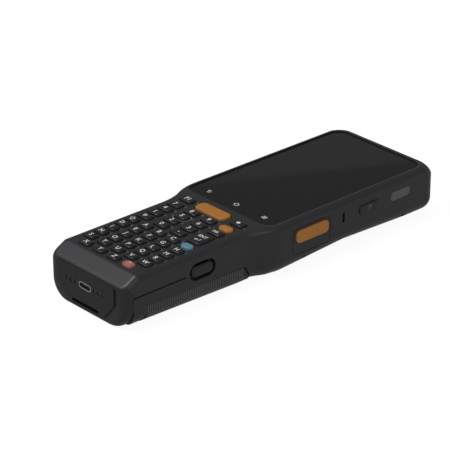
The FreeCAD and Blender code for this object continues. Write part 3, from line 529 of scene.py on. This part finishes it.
key_caps("key_menu", [(function_x, function_row)], *number_size, key_black, "key_black")
key_caps("key_scan", [(0, function_row)], 21.8, 8.3, 3.0, key_orange, "key_orange")


# Legends. White print on the caps, in plain sans capitals and figures.
# Each stands less than two hundredths of a millimetre over its cap, and moves with it.
def lettering(name, words, z, body, material, weight=0.045):
    """Flat lettering as one mesh: each word is (text, x, y, size), centred on its point."""
    thickness = 0.012
    joined = bmesh.new()
    for text, x, y, size in words:
        curve = bpy.data.curves.new(name, "FONT")
        curve.body = text
        curve.size = size / 1000
        curve.offset = weight / 1000
        curve.extrude = thickness / 1000
        curve.resolution_u = 3
        sign = bpy.data.objects.new(name, curve)
        bpy.context.collection.objects.link(sign)
        mesh = evaluated_mesh(sign)
        low = Vector([min(vertex.co[axis] for vertex in mesh.vertices) for axis in range(3)])
        high = Vector([max(vertex.co[axis] for vertex in mesh.vertices) for axis in range(3)])
        mesh.transform(Matrix.Translation(to_row(x, y, z) - (low + high) / 2))
        joined.from_mesh(mesh)
        bpy.data.objects.remove(sign)
        bpy.data.curves.remove(curve)
        bpy.data.meshes.remove(mesh)
    mesh = bpy.data.meshes.new(name)
    joined.to_mesh(mesh)
    joined.free()
    mesh.materials.clear()
    mesh.materials.append(material)
    piece = bpy.data.objects.new(name, mesh)
    bpy.context.collection.objects.link(piece)
    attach(piece, body)


for node, words in legends.items():
    lettering("legend_" + node, words, key_top + 0.004, node, white_print)

symbol_height = key_top + 0.014


def symbol(node, paths, width):
    """A white line drawing on a cap."""
    points = []
    faces = []
    for path in paths:
        faces += stroke(points, path, width, symbol_height)
    solid_from("symbol_" + node, points, faces, node, white_print)


symbol_line = 0.36
shift_x, shift_y = letter_place(-2, 6)
shift_head = [(shift_x - 1.5, shift_y), (shift_x, shift_y + 1.4), (shift_x + 1.5, shift_y)]
shift_stem = [(shift_x - 0.7, shift_y - 0.1), (shift_x - 0.7, shift_y - 1.4),
              (shift_x + 0.7, shift_y - 1.4), (shift_x + 0.7, shift_y - 0.1)]
symbol("key_shift", [shift_head, shift_stem], 0.38)
menu_half = 1.35
menu_points = [(function_x + menu_half * dx, function_row + menu_half * dy, symbol_height)
               for dx, dy in ((-1, 0), (0, -1), (1, 0), (0, 1))]
solid_from("symbol_key_menu", menu_points, [(0, 1, 2, 3)], "key_menu", white_print)
enter_x, enter_y = enter_place
enter_stem = [(enter_x + 1.6, enter_y - 1.2), (enter_x + 1.6, enter_y - 2.6), (enter_x - 1.5, enter_y - 2.6)]
enter_head = [(enter_x - 0.6, enter_y - 1.8), (enter_x - 1.6, enter_y - 2.6), (enter_x - 0.6, enter_y - 3.4)]
symbol("key_enter", [enter_stem, enter_head], symbol_line)
red_x, red_y = last_places[3]
red_ring = arc_path(red_x, red_y, 1.2, 125, 415, 16)
red_bar = [(red_x, red_y + 0.2), (red_x, red_y + 1.7)]
symbol("key_red", [red_ring, red_bar], symbol_line)


# Marks on the face beside the keys: small grey-blue signs for the shifted characters, and the pale
# outline round the 5 that helps a finger find the middle. All are pad printed on the front housing.
pale_blue_print = moulded("pale_blue_print", (0.080, 0.115, 0.135), 0.5, patch=0.05)
face_height = 0.7
shifted_signs = {
    "keys_a_to_c": "!@#",
    "keys_d_to_h": "$%^&(",
    "keys_i_to_m": ")-_=+",
    "keys_n_to_r": "[]{}|",
    "keys_s_to_w": ":;<>?",
}
sign_size = 1.9
side_marks = []
for node, signs in shifted_signs.items():
    for sign, (_, x, y, _) in zip(signs, legends[node]):
        side_marks.append((sign, x + 4.55, y + 2.1, sign_size))
for node, (column, row) in number_keys.items():
    if node not in ("key_word", "key_star", "key_point"):
        x, y = number_place(column, row)
        side_marks.append(("F%d" % (int(node[-1]) or 10), x + 5.6, y + 2.0, 1.5))
for sign, (x, y) in zip("/~", last_places):
    side_marks.append((sign, x + 4.7, y + 2.0, sign_size))
side_marks.append(("F2", -function_x + 5.7, function_row + 1.6, 1.6))
side_marks.append(("F3", function_x + 5.7, function_row - 1.2, 1.6))
lettering("face_marks", side_marks, face_height + 0.006, "terminal", pale_blue_print, weight=0.02)
five_x, five_y = number_place(-0.5, 9)
outline_height = face_height + 0.012
five_outer = rounded_ring(five_x, five_y, 10.1, 6.5, 2.2, outline_height)
five_inner = rounded_ring(five_x, five_y, 9.7, 6.1, 2.0, outline_height)
solid_from("five_outline", five_outer + five_inner, bridge([five_outer, five_inner], False),
           "terminal", moulded("outline_print", (0.24, 0.20, 0.185), 0.5))


# Side keys. Scan keys of satin orange plastic in both sides of the head, a black power key and two
# volume keys in narrow windows, the grip's two battery latches, and a grey inset beside the power key.
dress(key_orange, "right_scan_key", "left_scan_key")
latch_black = moulded("latch_black", (0.013, 0.0133, 0.014), 0.34, specular=0.4)
dress(latch_black, "power_key", "volume_up_key", "volume_down_key")
# A latch's dome, ring by ring from its back: how far out, and how far in from the latch's edge.
latch_profile = ((-0.6, 0.0), (-0.1, 0.0), (0.25, 0.12), (0.5, 0.35), (0.66, 0.75), (0.74, 1.3), (0.77, 1.9))
latch_corner = 2.6
latch_sunk = 0.25
for side, node in ((1, "right_latch"), (-1, "left_latch")):
    latch_low, latch_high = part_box(node)
    latch_middle = (latch_low + latch_high) / 2 - drawing_origin
    latch_size = latch_high - latch_low
    latch_face = max(abs(latch_low.x), abs(latch_high.x)) * 1000
    latch_rings = []
    for out, inset in latch_profile:
        flat = rounded_ring(latch_middle.y * 1000, latch_middle.z * 1000, latch_size.y * 1000 - 2 * inset,
                            latch_size.z * 1000 - 2 * inset, latch_corner, 0)
        ring = [(side * (latch_face + out - latch_sunk), y, z) for y, z, _ in flat]
        latch_rings.append(ring if side > 0 else ring[::-1])
    latch_points = [point for ring in latch_rings for point in ring]
    latch_cap = solid_from(node + "_cap", latch_points, bridge(latch_rings), node, latch_black)
    for polygon in latch_cap.data.polygons:
        polygon.use_smooth = len(polygon.vertices) == 4
    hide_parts(node)
dress(moulded("inset_grey", (0.062, 0.062, 0.066), 0.4), "side_inset")
side_print = moulded("side_print", (0.14, 0.14, 0.145), 0.5)
power_points = []
power_faces = []
power_y = 67.8
power_z = -8.8
side_face = 35.6
power_ring = arc_path(power_y, power_z, 1.35, 125, 415, 16)
power_bar = [(power_y, power_z + 0.3), (power_y, power_z + 1.9)]
for path in (power_ring, power_bar):
    power_faces += stroke(power_points, path, 0.34, side_face + 0.004, "side")
solid_from("symbol_power_key", power_points, power_faces, "power_key", side_print)


# Panel seams. The panels that frame the side scan keys meet the shells at a fine gap, dark with shade.
# Each seam is a narrow flat band of painted shade here, laid over the gap on the side of the head.
# The band's near-black colour is painted shade for the gap.
seam_painted_shade = moulded("seam_painted_shade", (0.002, 0.002, 0.002), 0.8, specular=0.1)
panel_y = 26.6
panel_z = -11.5
panel_long = 26.4
panel_tall = 14.6
panel_corner = 3.5
seam_half = 0.14
seam_out = 35.012
for side, word in ((1, "right"), (-1, "left")):
    seam_rings = []
    for growth in (side * seam_half, -side * seam_half):
        flat = rounded_ring(panel_y, panel_z, panel_long + 2 * growth, panel_tall + 2 * growth,
                            panel_corner + growth, 0)
        seam_rings.append([(side * seam_out, y, z) for y, z, _ in flat])
    solid_from(word + "_panel_seam", seam_rings[0] + seam_rings[1], bridge(seam_rings, False),
               "terminal", seam_painted_shade)


# Battery pack. A moulded case that fills the back of the grip, with a row of fine upright ribs along
# each side, where the fingers close. The ribs are one shape repeated at a steady pitch.
case_black = moulded("case_black", (0.0135, 0.0138, 0.0145), 0.42, grain=0.3, relief=0.015, specular=0.4)
dress(case_black, "battery_case")
dress(moulded("cell_foil", (0.25, 0.27, 0.30), 0.35), "battery_cell")


def repeated(name, single, count, start, pitch, material):
    """Repeats a mesh along a line with Geometry Nodes and gives the whole as a plain mesh."""
    tree = bpy.data.node_groups.new(name + "_row", "GeometryNodeTree")
    interface = tree.interface
    interface.new_socket("Geometry", in_out="INPUT", socket_type="NodeSocketGeometry")
    sockets = {}
    for label, kind in (("Count", "NodeSocketInt"), ("Start", "NodeSocketVector"),
                        ("Pitch", "NodeSocketVector"), ("Finish", "NodeSocketMaterial")):
        sockets[label] = interface.new_socket(label, in_out="INPUT", socket_type=kind).identifier
    interface.new_socket("Geometry", in_out="OUTPUT", socket_type="NodeSocketGeometry")
    given = tree.nodes.new("NodeGroupInput")
    line = tree.nodes.new("GeometryNodeMeshLine")
    copies = tree.nodes.new("GeometryNodeInstanceOnPoints")
    real = tree.nodes.new("GeometryNodeRealizeInstances")
    finish = tree.nodes.new("GeometryNodeSetMaterial")
    result = tree.nodes.new("NodeGroupOutput")
    tree.links.new(given.outputs["Count"], line.inputs["Count"])
    tree.links.new(given.outputs["Start"], line.inputs["Start Location"])
    tree.links.new(given.outputs["Pitch"], line.inputs["Offset"])
    tree.links.new(line.outputs["Mesh"], copies.inputs["Points"])
    tree.links.new(given.outputs["Geometry"], copies.inputs["Instance"])
    tree.links.new(copies.outputs["Instances"], real.inputs["Geometry"])
    tree.links.new(real.outputs["Geometry"], finish.inputs["Geometry"])
    tree.links.new(given.outputs["Finish"], finish.inputs["Material"])
    tree.links.new(finish.outputs["Geometry"], result.inputs["Geometry"])
    pattern = bpy.data.objects.new(name + "_pattern", single)
    bpy.context.collection.objects.link(pattern)
    modifier = pattern.modifiers.new("row", "NODES")
    modifier.node_group = tree
    modifier[sockets["Count"]] = count
    modifier[sockets["Start"]] = start
    modifier[sockets["Pitch"]] = pitch
    modifier[sockets["Finish"]] = material
    whole = evaluated_mesh(pattern)
    bpy.data.objects.remove(pattern)
    piece = bpy.data.objects.new(name, whole)
    bpy.context.collection.objects.link(piece)
    return piece


rib_pitch = 1.17
rib_first = -77.0
rib_last = -14.5
rib_top = -16.9
rib_full = -17.3
rib_bend = -19.8
case_half = 28.4
case_round = 5.0
tail_depth = 25.9
neck_depth = 27.6
case_start = -80.5
case_flat = -17.0
case_slope = (neck_depth - tail_depth) / (case_flat - case_start)
rib_depth = tail_depth + (rib_first - case_start) * case_slope
bend_steps = 6
bend_turn = 8
# A rib's section is how far each point lies from its middle line and how high it stands.
rib_section = ((-0.34, -0.03), (-0.22, 0.24), (0, 0.32), (0.22, 0.24), (0.34, -0.03))
# Its path runs down the side and round the edge: x, z, the way out of the case, and share of the height.
rib_path = [(case_half, rib_top, 1, 0, 0.0), (case_half, rib_full, 1, 0, 1.0),
            (case_half, rib_bend, 1, 0, 1.0)]
for step in range(bend_steps + 1):
    angle = math.radians(step * bend_turn)
    out_x = math.cos(angle)
    out_z = -math.sin(angle)
    rib_path.append((case_half - case_round + case_round * out_x,
                     -rib_depth + case_round + case_round * out_z, out_x, out_z, 1.0 - step / bend_steps))
rib_points = []
rib_faces = []
section_count = len(rib_section)
for side in (1, -1):
    first = len(rib_points)
    for x, z, out_x, out_z, fade in rib_path:
        for across, height in rib_section:
            lift = height * fade if height > 0 else height
            rib_points.append((side * (x + out_x * lift), across, z + out_z * lift))
    for step in range(len(rib_path) - 1):
        for strip in range(section_count - 1):
            corner = first + step * section_count + strip
            face = (corner, corner + 1, corner + section_count + 1, corner + section_count)
            rib_faces.append(face if side < 0 else face[::-1])
rib_mesh = bpy.data.meshes.new("grip_rib")
rib_mesh.from_pydata([Vector(point) / 1000 for point in rib_points], [], rib_faces)
rib_count = int((rib_last - rib_first) / rib_pitch) + 1
rib_black = moulded("rib_black", (0.060, 0.061, 0.066), 0.42)
ribs = repeated("grip_ribs", rib_mesh, rib_count, to_row(0, rib_first, 0),
                (0, rib_pitch / 1000, -rib_pitch * case_slope / 1000), rib_black)
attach(ribs, "battery")


# Bottom end fittings. A plated steel socket with its black tongue, and six gilt cradle contacts
# sunk in small round wells beside it.
steel = bpy.data.materials.new("plated_steel")
steel.use_nodes = True
steel_shader = steel.node_tree.nodes["Principled BSDF"]
steel_shader.inputs["Base Color"].default_value = (0.72, 0.72, 0.74, 1)
steel_shader.inputs["Metallic"].default_value = 1
brushed = steel.node_tree.nodes.new("ShaderNodeTexNoise")
brushed.inputs["Scale"].default_value = 900
steel_gloss = steel.node_tree.nodes.new("ShaderNodeMapRange")
steel_gloss.inputs["To Min"].default_value = 0.2
steel_gloss.inputs["To Max"].default_value = 0.4
steel.node_tree.links.new(brushed.outputs["Fac"], steel_gloss.inputs["Value"])
steel.node_tree.links.new(steel_gloss.outputs["Result"], steel_shader.inputs["Roughness"])
dress(steel, "usb_c_shell")
gilt = steel.copy()
gilt.name = "gilt_contact"
gilt.node_tree.nodes["Principled BSDF"].inputs["Base Color"].default_value = (0.20, 0.15, 0.08, 1)
dress(gilt, "charging_contacts", "battery_contacts")
module_black = moulded("module_black", (0.02, 0.02, 0.02), 0.5)
dress(module_black, "usb_c_tongue", "scan_engine", "camera_module", "speaker")


# Inside. The silicone key mat and the two green circuit boards, seen only with the shells apart.
dress(moulded("mat_silicone", (0.06, 0.06, 0.065), 0.6), "keypad_mat")
dress(moulded("board_green", (0.02, 0.12, 0.05), 0.4), "keypad_board", "main_board")


# Scanner end and back. A deep red window in the end, the camera's black window in the hump,
# and blackened screws with cross slots at the bottom of their wells.
red_window = gloss_black("red_window", (0.06, 0.006, 0.010), 0.05)
dress(red_window, "scan_window")
dress(gloss_black("camera_glass", (0.008, 0.008, 0.010), 0.04), "camera_window")
screw_steel = steel.copy()
screw_steel.name = "blackened_steel"
screw_steel.node_tree.nodes["Principled BSDF"].inputs["Base Color"].default_value = (0.10, 0.10, 0.105, 1)
dress(screw_steel, "housing_screws")
cross_points = []
cross_faces = []
screw_x = 30.4
screw_face = -21.62
screw_first = 22.0
screw_pitch = 36.2
screw_count = 3
slot_reach = 1.1
slot_half = 0.22
for side in (1, -1):
    middle = side * screw_x
    for reach_x, reach_y in ((slot_reach, slot_half), (slot_half, slot_reach)):
        first = len(cross_points)
        cross_points += [(middle - reach_x, -reach_y, screw_face), (middle - reach_x, reach_y, screw_face),
                         (middle + reach_x, reach_y, screw_face), (middle + reach_x, -reach_y, screw_face)]
        cross_faces.append((first, first + 1, first + 2, first + 3))
cross_mesh = bpy.data.meshes.new("screw_cross")
cross_mesh.from_pydata([Vector(point) / 1000 for point in cross_points], [], cross_faces)
# The crosses are flat black quads on the screw heads: painted shade for the slots' hollows.
recess_painted_shade = moulded("recess_painted_shade", (0.006, 0.006, 0.006), 0.8)
crosses = repeated("screw_crosses", cross_mesh, screw_count, to_row(0, screw_first, 0),
                   (0, screw_pitch / 1000, 0), recess_painted_shade)
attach(crosses, "terminal")


# Edge notches. Where a screw's well breaks through the rounded lower edge there is a short notch, dark with
# shade.
# Each is a thin patch of painted shade here, laid on the shell with its round end up.
notch_top = -21.4
notch_fall = 0.45
notch_steps = 6
notch_half = 2.1
notch_lift = 0.03
beside_shell = 45
notch_points = []
notch_faces = []
shell_tree = BVHTree.FromPolygons([vertex.co for vertex in back_shell.data.vertices],
                                  [polygon.vertices[:] for polygon in back_shell.data.polygons])
for side in (1, -1):
    for screw in range(screw_count):
        notch_y = screw_first + screw * screw_pitch
        first = len(notch_points)
        for step in range(notch_steps + 1):
            height = notch_top - step * notch_fall
            reach = notch_half * math.sqrt(max(1 - ((notch_steps - step) / (notch_steps + 0.5)) ** 2, 0.02))
            for y in (-reach, 0, reach):
                ray_start = to_row(side * beside_shell, notch_y + y, height)
                spot = shell_tree.ray_cast(ray_start, Vector((-side, 0, 0)))[0]
                notch_points.append((spot.x * 1000 + side * notch_lift, notch_y + y, height))
        for step in range(notch_steps):
            for strip in range(2):
                corner = first + 3 * step + strip
                face = (corner, corner + 3, corner + 4, corner + 1)
                notch_faces.append(face if side < 0 else face[::-1])
solid_from("edge_notches", notch_points, notch_faces, "terminal", recess_painted_shade)


# Studio. A white floor, a soft lamp from above the keypad end, a weaker one from the right, and a
# dim card behind the scanner end that the glass mirrors, with a lighter part beyond a slanting edge.
def by_ray(tree, lit, seen, mirrored, surface, seen_share=1):
    """Lights the object with one shader, and shows the camera a second and mirrors a third."""
    ray = tree.nodes.new("ShaderNodeLightPath")
    share = tree.nodes.new("ShaderNodeMath")
    share.operation = "MULTIPLY"
    share.inputs[1].default_value = seen_share
    camera_choice = tree.nodes.new("ShaderNodeMixShader")
    mirror_choice = tree.nodes.new("ShaderNodeMixShader")
    tree.links.new(ray.outputs["Is Camera Ray"], share.inputs[0])
    tree.links.new(share.outputs[0], camera_choice.inputs["Fac"])
    tree.links.new(lit.outputs[0], camera_choice.inputs[1])
    tree.links.new(seen.outputs[0], camera_choice.inputs[2])
    tree.links.new(ray.outputs["Is Glossy Ray"], mirror_choice.inputs["Fac"])
    tree.links.new(camera_choice.outputs[0], mirror_choice.inputs[1])
    tree.links.new(mirrored.outputs[0], mirror_choice.inputs[2])
    tree.links.new(mirror_choice.outputs[0], surface)


floor_material = bpy.data.materials.new("white_floor")
floor_material.use_nodes = True
floor_tree = floor_material.node_tree
floor_tree.nodes.clear()
floor_paper = floor_tree.nodes.new("ShaderNodeBsdfDiffuse")
floor_paper.inputs["Color"].default_value = (0.80, 0.80, 0.80, 1)
floor_glow = floor_tree.nodes.new("ShaderNodeEmission")
floor_glow.inputs["Strength"].default_value = 1.04
floor_mirrored = floor_tree.nodes.new("ShaderNodeEmission")
floor_mirrored.inputs["Strength"].default_value = 0.34
floor_out = floor_tree.nodes.new("ShaderNodeOutputMaterial")
by_ray(floor_tree, floor_paper, floor_glow, floor_mirrored, floor_out.inputs["Surface"], seen_share=0.9)
floor_mesh = bpy.data.meshes.new("floor")
floor_reach = 8
floor_corners = [(-floor_reach, -floor_reach, 0), (floor_reach, -floor_reach, 0),
                 (floor_reach, floor_reach, 0), (-floor_reach, floor_reach, 0)]
floor_mesh.from_pydata(floor_corners, [], [(0, 1, 2, 3)])
floor_mesh.materials.append(floor_material)
floor = bpy.data.objects.new("floor", floor_mesh)
bpy.context.collection.objects.link(floor)

world = bpy.data.worlds.new("studio")
bpy.context.scene.world = world
world.use_nodes = True
world_tree = world.node_tree
sky = world_tree.nodes["Background"]
sky.inputs["Color"].default_value = (1, 1, 1, 1)
sky.inputs["Strength"].default_value = 0.62
white_sky = world_tree.nodes.new("ShaderNodeBackground")
white_sky.inputs["Strength"].default_value = 1
mirrored_sky = world_tree.nodes.new("ShaderNodeBackground")
mirrored_sky.inputs["Strength"].default_value = 0.28
by_ray(world_tree, sky, white_sky, mirrored_sky, world_tree.nodes["World Output"].inputs["Surface"])


def soft_lamp(name, place, size, power):
    """A square area lamp aimed at the terminal."""
    lamp = bpy.data.lights.new(name, "AREA")
    lamp.size = size
    lamp.energy = power
    holder = bpy.data.objects.new(name, lamp)
    holder.location = place
    holder.rotation_euler = (-Vector(place)).to_track_quat("-Z", "Y").to_euler()
    bpy.context.collection.objects.link(holder)


soft_lamp("top_lamp", place=(-0.5, -0.7, 1.6), size=1.2, power=26)
soft_lamp("side_lamp", place=(1.5, -0.2, 0.9), size=1.0, power=3.5)


# Camera, at the photograph's viewing angle, with a long lens. It stands back from the drawing's origin,
# moved a little across and down, so that the terminal falls where the photograph has it.
azimuth = math.radians(47.67)
elevation = math.radians(26.07)
distance = 1183.56
moved_across = -0.757
moved_up = -8.461
focal_pixels = 2332.5
picture_pixels = 450
sensor = 36
across = Vector((math.cos(azimuth), math.sin(azimuth), 0))
backward = Vector((math.sin(azimuth) * math.cos(elevation), -math.cos(azimuth) * math.cos(elevation),
                   math.sin(elevation)))
upward = backward.cross(across)
lens = bpy.data.cameras.new("camera")
lens.sensor_width = sensor
lens.lens = focal_pixels / picture_pixels * sensor
camera = bpy.data.objects.new("camera", lens)
camera.location = to_row(*(across * moved_across + upward * moved_up + backward * distance))
camera.rotation_euler = (-backward).to_track_quat("-Z", "Y").to_euler()
bpy.context.collection.objects.link(camera)
bpy.context.scene.camera = camera
bpy.context.scene.view_settings.view_transform = "Standard"

# The card stands where the camera sees it mirrored in the middle of the glass, sizes in metres.
card_distance = 1.1
card_half_length = 0.9
card_part_width = 0.8
mirrored_eye = Vector((camera.location.x, camera.location.y, 2 * glass_high.z - camera.location.z))
mirror_spot = to_row(0, 55, 0)
card_middle = mirror_spot + Vector((-backward.x, -backward.y, backward.z)) * card_distance
card_normal = (mirror_spot - card_middle).normalized()


def on_card(x, y):
    """Where the camera sees the card mirrored in a point of the glass."""
    point = to_row(x, y, 0)
    ray = point - mirrored_eye
    return point + ray * ((card_middle - point).dot(card_normal) / ray.dot(card_normal))


edge_first = on_card(-21.0, 25.2)
edge_last = on_card(21.3, 106.5)
edge_along = (edge_last - edge_first).normalized()
edge_across = card_normal.cross(edge_along)
if (on_card(-25, 95) - edge_first).dot(edge_across) < 0:
    edge_across = -edge_across
for name, direction, strength in (("card_light_part", 1, 0.185), ("card_dark_part", -1, 0.13)):
    glow = bpy.data.materials.new(name)
    glow.use_nodes = True
    glow.node_tree.nodes.clear()
    emission = glow.node_tree.nodes.new("ShaderNodeEmission")
    emission.inputs["Strength"].default_value = strength
    card_out = glow.node_tree.nodes.new("ShaderNodeOutputMaterial")
    glow.node_tree.links.new(emission.outputs[0], card_out.inputs["Surface"])
    card_mesh = bpy.data.meshes.new(name)
    near_end = edge_first - edge_along * card_half_length
    far_end = edge_first + edge_along * card_half_length
    outwards = edge_across * direction * card_part_width
    corners = [near_end, far_end, far_end + outwards, near_end + outwards]
    card_mesh.from_pydata(corners, [], [(0, 1, 2, 3)])
    card_mesh.materials.append(glow)
    card = bpy.data.objects.new(name, card_mesh)
    card.visible_camera = False
    card.visible_diffuse = False
    card.visible_shadow = False
    bpy.context.collection.objects.link(card)
